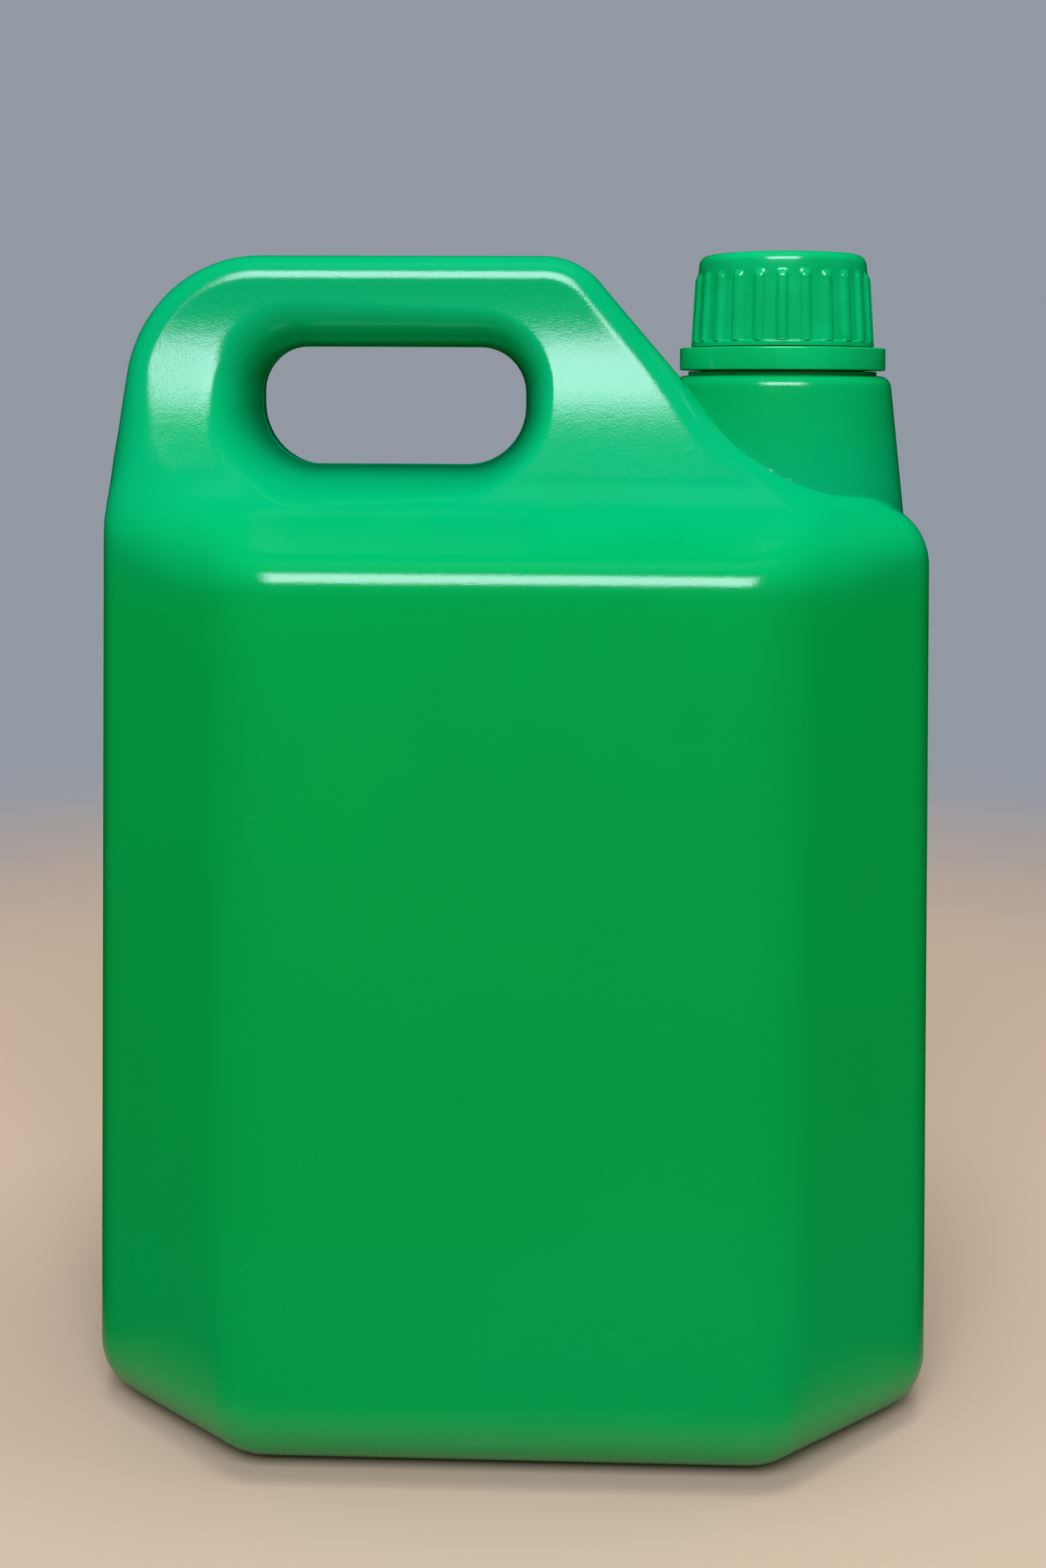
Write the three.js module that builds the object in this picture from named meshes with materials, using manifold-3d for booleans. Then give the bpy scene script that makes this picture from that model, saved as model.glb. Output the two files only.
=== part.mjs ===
import * as THREE from 'three';
import { mergeVertices } from 'three/addons/utils/BufferGeometryUtils.js';
import Module from 'manifold-3d';

// A five litre blow-moulded jerrycan: a hollow shell with a through-handle and a threaded neck,
// closed by a ribbed screw cap with a sealing liner, above a tamper band that stays on the neck.
// Millimetres, +Z up, the front panel faces -Y, the origin is the middle of the base.

const degrees = THREE.MathUtils.degToRad;

// Body of the canister
const bodyWidth = 200;
const bodyDepth = 134;
const cornerChamfer = 38.5;
const baseRadius = 17;
const baseCornerRadius = 3;
const baseRimWidth = 10;
const baseRecessDepth = 3;
const shoulderHeight = 207;
const shoulderRadius = 8;
const roofAngle = degrees(25);
const wallThickness = 1.6;

// Handle ridge over the roof, with the grip hole through it
const ridgeFootDepth = 64;
const handleTopDepth = 28;
const handleEdgeRadius = 7;
const handleBackLean = 5.5;
const handleBackRadius = 34;
const handleNoseRadius = 19;
const gripFloorRise = 3.3;
const gripHeight = 30.7;
const gripCornerRadius = 13;
const gripFlare = 9.5;
const gripFlareDepth = 18;
const barHeight = 22.8;
const backPostWidth = 33.6;
const nosePostWidth = 13.1;

// Slope from the handle down to the platform that the neck stands on
const slopeAngle = degrees(50);
const slopeToBand = 2.4;
const platformRise = 12;
const platformTilt = degrees(4);
const crestRadius = 70;
const neckShoulderRadius = 16;

// Neck tower and threaded finish
const neckInset = 31.9;
const towerRise = 42;
const towerTopRadius = 27.4;
const towerFlare = 3.1;
const towerEdgeRadius = 2;
const flangeInset = 1;
const boreRadius = 16.2;
const finishWall = 2;
const collarRadius = 20.2;
const beadProud = 1.4;
const beadHeight = 1.7;

// Screw thread, the same on the neck and in the cap
const threadPitch = 4;
const threadHeight = 1.4;
const threadBase = 2.3;
const threadCrest = 1.3;
const threadRadialGap = 0.5;
const neckThreadTurns = 2;
const capThreadTurns = 1.5;
const threadStart = 5.4;

// Tamper band
const bandLift = 2.4;
const bandHeight = 5.7;
const bandLedge = 2.95;
const bandWall = 1.4;
const bandWeb = 1.2;
const bandLip = 1.5;
const bandRadialGap = 0.5;

// Screw cap and its liner
const capHeight = 23.2;
const capTopThickness = 1.8;
const capWall = 1.4;
const capDraft = 0.9;
const capDomeHeight = 5;
const capDomeInset = 0.4;
const capEdgeRadius = 1.5;
const capFootHeight = 1.4;
const ribCount = 24;
const ribDepth = 0.85;
const ribFootWidth = 2.6;
const ribCrestWidth = 1.5;
const linerThickness = 1.5;
const linerRadialGap = 0.5;

// Clearance between pieces that seat on each other
const seatGap = 0.3;

// Steps that round forms are divided into
const roundSteps = 48;
const threadStepsPerTurn = 24;
const outlineArcSteps = 4;
const cornerArcSteps = 2;
const bevelSteps = 3;
const cutterOverrun = 0.05;

// Corners of the body in plan: the round of the base edge carried round the corners of the flat base
const cornerRadius = baseRadius + baseCornerRadius;

// Heights of the canister, from the base up
const ridgeFootHeight = shoulderHeight + (bodyDepth - ridgeFootDepth) / 2 * Math.tan(roofAngle);
const gripFloor = ridgeFootHeight + gripFloorRise;
const gripCeiling = gripFloor + gripHeight;
const handleTop = gripCeiling + barHeight;
const ridgeLean = (ridgeFootDepth - handleTopDepth) / 2 / (handleTop - ridgeFootHeight);
const platformHeight = shoulderHeight + platformRise;
const towerTop = shoulderHeight + towerRise;

// Heights of the closure, from the tower up
const bandBottom = towerTop + bandLift;
const bandTop = bandBottom + bandHeight;
const beadTop = bandTop - bandWeb - seatGap;
const beadBottom = beadTop - beadHeight;
const lipTop = beadBottom - seatGap;
const capBottom = bandTop + seatGap;
const capTop = capBottom + capHeight;
const capCeiling = capTop - capTopThickness;
const linerTop = capCeiling - seatGap;
const linerBottom = linerTop - linerThickness;
const neckLip = linerBottom - seatGap;
const neckThreadBottom = capBottom + threadStart;
const capThreadBottom = neckThreadBottom - threadPitch / 2;

// Radii of the closure, from the bore out
const finishRadius = boreRadius + finishWall;
const capBoreRadius = finishRadius + threadHeight + threadRadialGap;
const capTopRadius = capBoreRadius + capWall;
const capFootRadius = capTopRadius + capDraft;
const beadRadius = collarRadius + beadProud;
const bandInnerRadius = collarRadius + bandRadialGap;
const bandOuterRadius = capFootRadius + ribDepth + bandLedge;
const linerRadius = capBoreRadius - linerRadialGap;
const flangeRadius = Math.min(bandOuterRadius - flangeInset, towerTopRadius - towerEdgeRadius);

// Places along the width
const rightSide = bodyWidth / 2;
const neckX = rightSide - neckInset;
const slopeFootX = neckX - bandOuterRadius - slopeToBand;
const noseX = slopeFootX - (handleTop - bandBottom) / Math.tan(slopeAngle);
const gripLeft = -rightSide + backPostWidth;
const gripRight = noseX - nosePostWidth;

const wasm = await Module();
wasm.setup();

// Solid of a closed geometry, with its shared corners merged.
function solidOf(geometry) {
  geometry.deleteAttribute('normal');
  geometry.deleteAttribute('uv');
  const merged = mergeVertices(geometry, 1e-4);
  const vertProperties = Float32Array.from(merged.attributes.position.array);
  const triVerts = Uint32Array.from(merged.index.array);
  return new wasm.Manifold(new wasm.Mesh({ numProp: 3, vertProperties, triVerts }));
}

// Geometry of a finished solid, in flat facets.
function geometryOf(solid) {
  const mesh = solid.getMesh();
  const geometry = new THREE.BufferGeometry();
  geometry.setAttribute('position', new THREE.BufferAttribute(mesh.vertProperties, 3));
  geometry.setIndex(new THREE.BufferAttribute(mesh.triVerts, 1));
  geometry.computeVertexNormals();
  return geometry;
}

// Corner of an outline: its place and the radius it is rounded with.
function corner(x, y, radius = 0) {
  return { point: new THREE.Vector2(x, y), radius };
}

// Direction of the edge into each corner, the turn there and the length of the edge out of it.
function cornerEdges(corners) {
  return corners.map((here, i) => {
    const before = corners.at(i - 1).point;
    const after = corners[(i + 1) % corners.length].point;
    const into = here.point.clone().sub(before).normalize();
    const out = after.clone().sub(here.point).normalize();
    const turn = Math.atan2(into.cross(out), into.dot(out));
    return { into, turn, length: after.distanceTo(here.point) };
  });
}

// Outline with every edge moved inwards by the inset; a negative inset grows it.
function insetCorners(corners, inset) {
  const edges = cornerEdges(corners);
  return corners.map((here, i) => {
    const { into, turn } = edges[i];
    const normal = new THREE.Vector2(-into.y, into.x);
    const along = inset * Math.tan(turn / 2);
    const point = here.point.clone().addScaledVector(normal, inset).addScaledVector(into, -along);
    const radius = here.radius > 0 ? Math.max(here.radius - Math.sign(turn) * inset, 0.3) : 0;
    return { point, radius };
  });
}

// Shape with rounded corners; a round is limited by the edges beside it.
function roundedShape(corners) {
  const edges = cornerEdges(corners);
  const reach = corners.map((here, i) => here.radius * Math.abs(Math.tan(edges[i].turn / 2)));
  const share = edges.map((edge, i) => {
    const used = reach[i] + reach[(i + 1) % corners.length];
    return used > edge.length ? edge.length / used : 1;
  });
  const shape = new THREE.Shape();
  corners.forEach((here, i) => {
    const { into, turn } = edges[i];
    const limit = Math.min(share.at(i - 1), share[i]);
    const radius = here.radius * limit;
    const start = here.point.clone().addScaledVector(into, -reach[i] * limit);
    if (radius > 0) {
      const inward = new THREE.Vector2(-into.y, into.x).multiplyScalar(Math.sign(turn) * radius);
      const centre = start.clone().add(inward);
      const from = Math.atan2(-inward.y, -inward.x);
      shape.absarc(centre.x, centre.y, radius, from, from + turn, turn < 0);
    } else if (i === 0) {
      shape.moveTo(start.x, start.y);
    } else {
      shape.lineTo(start.x, start.y);
    }
  });
  shape.closePath();
  return shape;
}

// Prism of an X-Z outline, centred on the mid-plane, with rounded or flared front and back edges.
function prismAlongY(corners, halfDepth, edge = { size: 0, depth: 0 }) {
  const geometry = new THREE.ExtrudeGeometry(roundedShape(corners), {
    depth: 2 * (halfDepth - edge.depth),
    curveSegments: outlineArcSteps,
    bevelEnabled: edge.depth > 0,
    bevelSize: edge.size,
    bevelOffset: -edge.size,
    bevelThickness: edge.depth,
    bevelSegments: bevelSteps,
  });
  geometry.translate(0, 0, edge.depth - halfDepth);
  return geometry.rotateX(Math.PI / 2);
}

// Prism of a Y-Z outline along the whole width.
function prismAlongX(corners, halfWidth) {
  const geometry = new THREE.ExtrudeGeometry(roundedShape(corners), {
    depth: 2 * halfWidth,
    curveSegments: cornerArcSteps,
    bevelEnabled: false,
  });
  geometry.translate(0, 0, -halfWidth);
  return geometry.rotateX(Math.PI / 2).rotateZ(Math.PI / 2);
}

// Upright prism of a plan outline, with its lower and upper edges rounded.
function prismAlongZ(corners, bottom, top, edgeRadius) {
  const geometry = new THREE.ExtrudeGeometry(roundedShape(corners), {
    depth: top - bottom - 2 * edgeRadius,
    curveSegments: cornerArcSteps,
    bevelEnabled: true,
    bevelSize: edgeRadius,
    bevelOffset: -edgeRadius,
    bevelThickness: edgeRadius,
    bevelSegments: bevelSteps,
  });
  return geometry.translate(0, 0, bottom + edgeRadius);
}

// Front and back faces of a prism leaned in towards the handle top, from the depth at the ridge foot.
function leanFaces(geometry) {
  const position = geometry.attributes.position;
  for (let i = 0; i < position.count; i += 1) {
    const shift = ridgeLean * (position.getZ(i) - ridgeFootHeight);
    const y = position.getY(i);
    position.setY(i, y - Math.sign(y) * shift);
  }
  return geometry;
}

// Body of revolution about the neck axis, from a profile of radius and height.
function turned(profile, steps = roundSteps) {
  const points = profile.map(([radius, z]) => new THREE.Vector2(radius, z));
  return new THREE.LatheGeometry(points, steps).rotateX(Math.PI / 2);
}

// Points of a quarter round on a turned profile, from angle to angle about its centre.
function roundProfile(centreRadius, centreZ, radius, from, to) {
  return Array.from({ length: bevelSteps + 1 }, (_, i) => {
    const angle = from + (to - from) * i / bevelSteps;
    return [centreRadius + radius * Math.cos(angle), centreZ + radius * Math.sin(angle)];
  });
}

// Thread ridge wound about the axis: a straight bar of the ridge's section is bent into a helix.
// The ridge stands out from its wall by threadHeight, outwards or inwards, and fades at both ends.
function threadRidge(wallRadius, outwards, bottom, turns) {
  const sunk = finishWall / 4;
  const section = new THREE.Shape([
    new THREE.Vector2(-sunk, -threadBase / 2),
    new THREE.Vector2(0, -threadBase / 2),
    new THREE.Vector2(threadHeight, -threadCrest / 2),
    new THREE.Vector2(threadHeight, threadCrest / 2),
    new THREE.Vector2(0, threadBase / 2),
    new THREE.Vector2(-sunk, threadBase / 2),
  ]);
  const steps = Math.round(turns * threadStepsPerTurn);
  const geometry = new THREE.ExtrudeGeometry(section, { depth: 1, steps, bevelEnabled: false });
  const position = geometry.attributes.position;
  const fade = 2 / steps;
  for (let i = 0; i < position.count; i += 1) {
    const along = position.getZ(i);
    const ends = Math.min(along, 1 - along) / fade;
    const height = position.getX(i) * (position.getX(i) > 0 ? 0.2 + 0.8 * Math.min(ends, 1) : 1);
    const radius = wallRadius + (outwards ? height : -height);
    const angle = along * turns * 2 * Math.PI;
    const z = bottom + along * turns * threadPitch + (outwards ? 1 : -1) * position.getY(i);
    position.setXYZ(i, radius * Math.cos(angle), radius * Math.sin(angle), z);
  }
  const index = Uint32Array.from({ length: position.count }, (_, i) => position.count - 1 - i);
  geometry.setIndex(new THREE.BufferAttribute(index, 1));
  return geometry;
}

// Outline of the can seen from the front: body, leaning handle back, nose, slope and neck platform.
function frontOutline(bottom) {
  const platformLeftRise = Math.tan(platformTilt);
  const slope = Math.tan(slopeAngle);
  const crestX = (slope * slopeFootX + bandBottom - platformHeight - platformLeftRise * rightSide)
    / (slope - platformLeftRise);
  const crestZ = platformHeight + platformLeftRise * (rightSide - crestX);
  return [
    corner(-rightSide, bottom),
    corner(rightSide, bottom),
    corner(rightSide, platformHeight, neckShoulderRadius),
    corner(crestX, crestZ, crestRadius),
    corner(noseX, handleTop, handleNoseRadius),
    corner(-rightSide + handleBackLean, handleTop, handleBackRadius),
    corner(-rightSide, ridgeFootHeight, handleBackRadius),
  ];
}

// Outline of the can seen from its end: straight walls and the sloping roof up into the ridge foot.
function endOutline() {
  const halfDepth = bodyDepth / 2;
  const roofTop = ridgeFootDepth / 2 - seatGap;
  const roofTopHeight = ridgeFootHeight + seatGap * Math.tan(roofAngle);
  return [
    corner(-halfDepth, 0),
    corner(halfDepth, 0),
    corner(halfDepth, shoulderHeight, shoulderRadius),
    corner(roofTop, roofTopHeight),
    corner(-roofTop, roofTopHeight),
    corner(-halfDepth, shoulderHeight, shoulderRadius),
  ];
}

// Plan of the body: a rectangle with large rounded corner chamfers.
function planOutline() {
  const halfDepth = bodyDepth / 2;
  const flatX = rightSide - cornerChamfer;
  const flatY = halfDepth - cornerChamfer;
  return [
    corner(-flatX, -halfDepth, cornerRadius),
    corner(flatX, -halfDepth, cornerRadius),
    corner(rightSide, -flatY, cornerRadius),
    corner(rightSide, flatY, cornerRadius),
    corner(flatX, halfDepth, cornerRadius),
    corner(-flatX, halfDepth, cornerRadius),
    corner(-rightSide, flatY, cornerRadius),
    corner(-rightSide, -flatY, cornerRadius),
  ];
}

// Outline of the grip hole at the mid-plane.
function gripOutline() {
  return [
    corner(gripLeft, gripFloor, gripCornerRadius),
    corner(gripRight, gripFloor, gripCornerRadius),
    corner(gripRight, gripCeiling, gripCornerRadius),
    corner(gripLeft, gripCeiling, gripCornerRadius),
  ];
}

// Body and handle ridge without the neck, shrunk on all sides by the inset.
function bodySolid(inset) {
  const front = insetCorners(frontOutline(0), inset);
  const end = insetCorners(endOutline(), inset);
  const plan = insetCorners(planOutline(), inset);
  const ridgeRoot = shoulderHeight - 2 * handleEdgeRadius - neckShoulderRadius;
  const ridge = insetCorners(frontOutline(ridgeRoot), inset);
  const edge = { size: handleEdgeRadius - inset, depth: handleEdgeRadius - inset };
  const roofed = solidOf(prismAlongX(end, bodyWidth)).intersect(solidOf(prismAlongY(front, bodyDepth)));
  const ridged = roofed.add(solidOf(leanFaces(prismAlongY(ridge, ridgeFootDepth / 2 - inset, edge))));
  return ridged.intersect(solidOf(prismAlongZ(plan, inset, handleTop + 2 * baseRadius, baseRadius - inset)));
}

// Grip hole with its rim flared out to the faces of the ridge, grown on all sides by the growth.
function gripCutter(growth) {
  const outline = insetCorners(gripOutline(), -growth);
  const flare = { size: -(gripFlare - growth), depth: gripFlareDepth - growth };
  const halfDepth = ridgeFootDepth / 2 - growth + cutterOverrun;
  return solidOf(leanFaces(prismAlongY(outline, halfDepth, flare)));
}

// Recess of the base inside its resting rim, with rounded edges, grown on all sides by the growth.
function recessCutter(growth) {
  const edgeRadius = baseRecessDepth + growth;
  const rim = insetCorners(planOutline(), baseRadius + baseRimWidth - growth);
  const plan = rim.map(({ point }) => ({ point, radius: edgeRadius + baseCornerRadius }));
  return solidOf(prismAlongZ(plan, -2 * edgeRadius, edgeRadius, edgeRadius));
}

// Neck tower, flange under the band, collar, retaining bead and finish, turned at the neck's place.
function neckSolid() {
  const footRadius = towerTopRadius + towerFlare;
  const slant = towerFlare / (towerTop - platformHeight);
  const foot = platformHeight - wallThickness;
  const edge = roundProfile(towerTopRadius - towerEdgeRadius, towerTop - towerEdgeRadius, towerEdgeRadius,
    Math.atan(slant), Math.PI / 2);
  const profile = [
    [0, foot],
    [footRadius + slant * wallThickness, foot],
    ...edge,
    [flangeRadius, towerTop],
    [flangeRadius, bandBottom - seatGap],
    [collarRadius, bandBottom - seatGap],
    [collarRadius, beadBottom],
    [beadRadius, beadBottom],
    [beadRadius, beadTop - beadHeight / 2],
    [collarRadius, beadTop],
    [finishRadius, beadTop],
    [finishRadius, neckLip],
    [0, neckLip],
  ];
  return solidOf(turned(profile).translate(neckX, 0, 0));
}

// Space inside the neck: the tower's inside narrowing to the bore, open at the lip.
function neckBore() {
  const slant = towerFlare / (towerTop - platformHeight);
  const top = towerTop - wallThickness - towerEdgeRadius;
  const foot = shoulderHeight - wallThickness;
  const innerTop = towerTopRadius - wallThickness;
  const profile = [
    [0, foot],
    [innerTop - towerEdgeRadius, foot],
    [innerTop + slant * (top - platformHeight), platformHeight - wallThickness],
    [innerTop, top],
    [boreRadius, towerTop - wallThickness],
    [boreRadius, neckLip + wallThickness],
    [0, neckLip + wallThickness],
  ];
  return solidOf(turned(profile).translate(neckX, 0, 0));
}

// One skin of plastic: the outside less the inside, the grip hole and the base recess.
function canisterGeometry() {
  const inside = bodySolid(wallThickness)
    .subtract(gripCutter(wallThickness))
    .subtract(recessCutter(wallThickness))
    .add(neckBore());
  const ridge = threadRidge(finishRadius, true, neckThreadBottom, neckThreadTurns).translate(neckX, 0, 0);
  const skin = bodySolid(0)
    .add(neckSolid())
    .subtract(gripCutter(0))
    .subtract(recessCutter(0))
    .subtract(inside)
    .add(solidOf(ridge));
  return geometryOf(skin);
}

// One grip rib of the cap, leaning with the skirt, on the side that faces +X.
function ribGeometry() {
  const section = new THREE.Shape([
    new THREE.Vector2(-capWall / 2, -ribFootWidth / 2),
    new THREE.Vector2(0, -ribFootWidth / 2),
    new THREE.Vector2(ribDepth, -ribCrestWidth / 2),
    new THREE.Vector2(ribDepth, ribCrestWidth / 2),
    new THREE.Vector2(0, ribFootWidth / 2),
    new THREE.Vector2(-capWall / 2, ribFootWidth / 2),
  ]);
  const height = capHeight - capDomeHeight - capFootHeight / 2;
  const geometry = new THREE.ExtrudeGeometry(section, { depth: height, bevelEnabled: false });
  const position = geometry.attributes.position;
  for (let i = 0; i < position.count; i += 1) {
    const rise = position.getZ(i) / height;
    position.setX(i, position.getX(i) + capFootRadius - capDraft * rise);
  }
  return geometry.translate(0, 0, capBottom + capFootHeight / 2);
}

// Cap: domed top, ribbed skirt on a plain foot ring, and the thread inside.
function capGeometry() {
  const domeRadius = capTopRadius - capDomeInset;
  const edge = roundProfile(domeRadius - capEdgeRadius, capTop - capEdgeRadius, capEdgeRadius,
    0, Math.PI / 2);
  let cap = solidOf(turned([
    [0, capBottom],
    [capFootRadius + ribDepth, capBottom],
    [capFootRadius + ribDepth, capBottom + capFootHeight],
    [capFootRadius, capBottom + capFootHeight],
    [capTopRadius, capTop - capDomeHeight],
    ...edge,
    [0, capTop],
  ]));
  for (let i = 0; i < ribCount; i += 1) {
    const angle = (i / ribCount) * 2 * Math.PI;
    cap = cap.add(solidOf(ribGeometry().rotateZ(angle)));
  }
  const bore = solidOf(turned([
    [0, capBottom - seatGap],
    [capBoreRadius, capBottom - seatGap],
    [capBoreRadius, capCeiling],
    [0, capCeiling],
  ]));
  const ridge = solidOf(threadRidge(capBoreRadius, false, capThreadBottom, capThreadTurns));
  return geometryOf(cap.subtract(bore).add(ridge));
}

// Tamper band: an outer wall with a web above and a lip below that hold it on the retaining bead.
function bandGeometry() {
  const channelRadius = bandOuterRadius - bandWall;
  const webBottom = bandTop - bandWeb;
  const lipBottom = lipTop - bandLip;
  return turned([
    [bandOuterRadius, bandBottom],
    [bandOuterRadius, bandTop],
    [bandInnerRadius, bandTop],
    [bandInnerRadius, webBottom],
    [channelRadius, webBottom],
    [channelRadius, lipTop],
    [bandInnerRadius, lipTop],
    [bandInnerRadius, lipBottom],
    [channelRadius, lipBottom],
    [channelRadius, bandBottom],
    [bandOuterRadius, bandBottom],
  ]);
}

// Liner: a plain foam disc between the neck lip and the top of the cap.
function linerGeometry() {
  return turned([
    [0, linerBottom],
    [linerRadius, linerBottom],
    [linerRadius, linerTop],
    [0, linerTop],
  ]);
}

function piece(name, geometry, color, roughness) {
  const material = new THREE.MeshStandardMaterial({ color, roughness, metalness: 0 });
  const mesh = new THREE.Mesh(geometry, material);
  mesh.name = name;
  return mesh;
}

const jerrycan = new THREE.Group();
jerrycan.add(piece('canister', canisterGeometry(), 0x009b48, 0.45));

const closure = new THREE.Group();
closure.position.set(neckX, 0, 0);
closure.add(piece('screw_cap', capGeometry(), 0x05a85c, 0.3));
closure.add(piece('tamper_band', bandGeometry(), 0x05a85c, 0.35));
closure.add(piece('cap_liner', linerGeometry(), 0xe9e6dc, 0.85));
jerrycan.add(closure);

export default jerrycan;
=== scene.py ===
"""Looks of the plastic jerrycan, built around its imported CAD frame.

The shell is one skin found from a distance formula, and the neck, cap, band and liner are turned
surfaces. Lengths in the formulas are millimetres, and the meshes are in metres.
"""

import math

import bmesh
import bpy
import numpy as np
from mathutils import Matrix, Vector


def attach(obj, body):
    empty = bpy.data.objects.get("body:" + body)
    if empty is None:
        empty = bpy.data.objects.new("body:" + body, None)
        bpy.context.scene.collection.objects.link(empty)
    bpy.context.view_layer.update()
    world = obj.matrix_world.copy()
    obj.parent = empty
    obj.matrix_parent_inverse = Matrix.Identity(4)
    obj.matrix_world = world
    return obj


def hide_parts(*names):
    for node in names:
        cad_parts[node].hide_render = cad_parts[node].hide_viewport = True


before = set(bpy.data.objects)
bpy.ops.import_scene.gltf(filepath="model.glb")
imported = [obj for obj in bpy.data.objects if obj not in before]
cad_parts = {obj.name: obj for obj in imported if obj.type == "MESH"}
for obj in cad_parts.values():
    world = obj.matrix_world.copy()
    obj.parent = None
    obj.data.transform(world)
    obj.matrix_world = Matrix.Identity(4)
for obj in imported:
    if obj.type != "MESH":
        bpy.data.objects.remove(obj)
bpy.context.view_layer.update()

MM = 0.001

# Body of the can, with the origin in the middle of the base.
HALF_WIDTH = 101.3
SIDE_BOW = 1.3
HALF_DEPTH = 67.0
CHAMFER_ACROSS = 38.5
CHAMFER_BACK = 33.0
CHAMFER_LENGTH = math.hypot(CHAMFER_ACROSS, CHAMFER_BACK)
SIDE_CORNER_RADIUS = 12.0
FRONT_CORNER_RADIUS = 26.0
FOOT_CORNER_RADIUS = 17.0
FOOT_CORNER_TOP_Z = 60.0
BASE_RADIUS = 17.0
BASE_SIDE_RADIUS = 14.0
BASE_SIDE_X = (55.0, 95.0)
RIM_WIDTH = 10.0
RECESS_DEPTH = 3.0
RECESS_SLOPE = 8.0
RECESS_CORNER_RADIUS = 44.0
SHOULDER_Z = 206.3
SHOULDER_RADIUS = 9.5
CHAMFER_EDGE_RADIUS = 20.0
CHAMFER_EDGE_X = (56.0, 80.0)
ROOF_ANGLE = math.radians(23.5)
WALL = 1.6
MERGE_REACH = 0.002

# Handle ridge on the roof, the grip hole through it and the platform of the neck.
RIDGE_FOOT_Z = 226.0
RIDGE_FOOT_HALF = 33.5
RIDGE_LEAN_FOOT = 0.62
RIDGE_LEAN_TOP = 0.06
RIDGE_EASE_Z = (226.0, 276.0)
RIDGE_FOOT_FILLET = 26.0
HANDLE_TOP_Z = 280.12
HANDLE_EDGE_RADIUS = 7.2
CREST_EDGE_RADIUS = 14.0
EDGE_EASE_Z = (211.0, 254.0)
CREST_EDGE_X = (36.0, 66.0)
BACK_LEAN = 6.3
BACK_RADIUS = 33.0
NOSE_RADIUS = 19.0
SLOPE_X = 39.5
SLOPE_Z = 251.4
SLOPE_ANGLE = math.radians(50)
PLATFORM_Z = 219.0
PLATFORM_TILT = math.radians(4)
CREST_RADIUS = 70.0
NECK_SHOULDER_RADIUS = 16.0
NECK_SHOULDER_X = (20.0, 60.0)
GRIP_CENTRE = (-32.05, 241.97)
GRIP_HALF = (34.35, 15.35)
GRIP_TOP_CORNER = 12.0
GRIP_FLOOR_CORNER = 15.3
FLARE_WIDTH = 9.0
FLARE_WIDER_BACK = 1.5
FLARE_WIDER_TOP = 1.2
FLARE_REACH = 0.9
SHOULDER_COSINE = 0.4
HANDLE_COSINE = 0.05
COSINE_LAG = 5.0

# Parting line of the two mould halves.
PARTING_HEIGHT = 0.2
PARTING_WIDTH = 0.45
PARTING_BOTTOM_Z = 6.0

# Neck: tower, collar, retaining bead and threaded finish.
NECK_X = 68.1
TOWER_TOP_Z = 250.0
TOWER_TOP_RADIUS = 27.4
TOWER_SLANT = 3.1 / 30.7
TOWER_EDGE_RADIUS = 3.0
TOWER_WALL_TOP_Z = 244.0
TOWER_EDGE_Z = 245.0
TOWER_ROOT_Z = 210.8
WELD_RADIUS = 0.12
FLANGE_RADIUS = 24.0
FLANGE_TOP_Z = 251.1
COLLAR_RADIUS = 20.2
BEAD_RADIUS = 21.6
BEAD_BOTTOM_Z = 253.9
BEAD_TOP_Z = 255.6
FINISH_RADIUS = 18.2
BORE_RADIUS = 16.2
BORE_FOOT_RADIUS = 24.0
BORE_FOOT_Z = 215.8
BORE_SHOULDER_Z = 243.8
NECK_LIP_Z = 276.7

# Screw thread, the same on the neck and in the cap.
THREAD_PITCH = 4.0
THREAD_HEIGHT = 1.4
THREAD_BASE = 2.3
THREAD_CREST = 1.3
THREAD_FADE = 0.12
NECK_THREAD_Z = 262.8
NECK_THREAD_TURNS = 2.0
CAP_THREAD_Z = 260.8
CAP_THREAD_TURNS = 1.5

# Screw cap.
CAP_BOTTOM_Z = 257.4
CAP_TOP_Z = 281.3
CAP_CEILING_Z = 278.8
CAP_CROWN = 0.45
CAP_BORE_RADIUS = 20.1
CAP_DOME_RADIUS = 21.1
CAP_EDGE_RADIUS = 2.6
CAP_SKIRT_TOP = (21.5, 276.4)
CAP_SKIRT_FOOT = (22.4, 258.8)
CAP_FOOT_RADIUS = 23.25
RIB_COUNT = 24
RIB_DEPTH = 0.85
RIB_FOOT_WIDTH = 3.5
RIB_CREST_WIDTH = 1.0
RIB_STEPS = 18
RIB_TURN = -8 / RIB_STEPS

# Tamper band and liner.
BAND_OUTER_RADIUS = 26.2
BAND_INNER_RADIUS = 20.7
BAND_CHANNEL_RADIUS = 24.8
BAND_BOTTOM_Z = 251.4
BAND_TOP_Z = 257.1
BAND_WEB_Z = 255.9
BAND_LIP_TOP_Z = 253.6
BAND_LIP_BOTTOM_Z = 252.1
LINER_RADIUS = 19.6
LINER_BOTTOM_Z = 277.0
LINER_TOP_Z = 278.5

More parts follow.
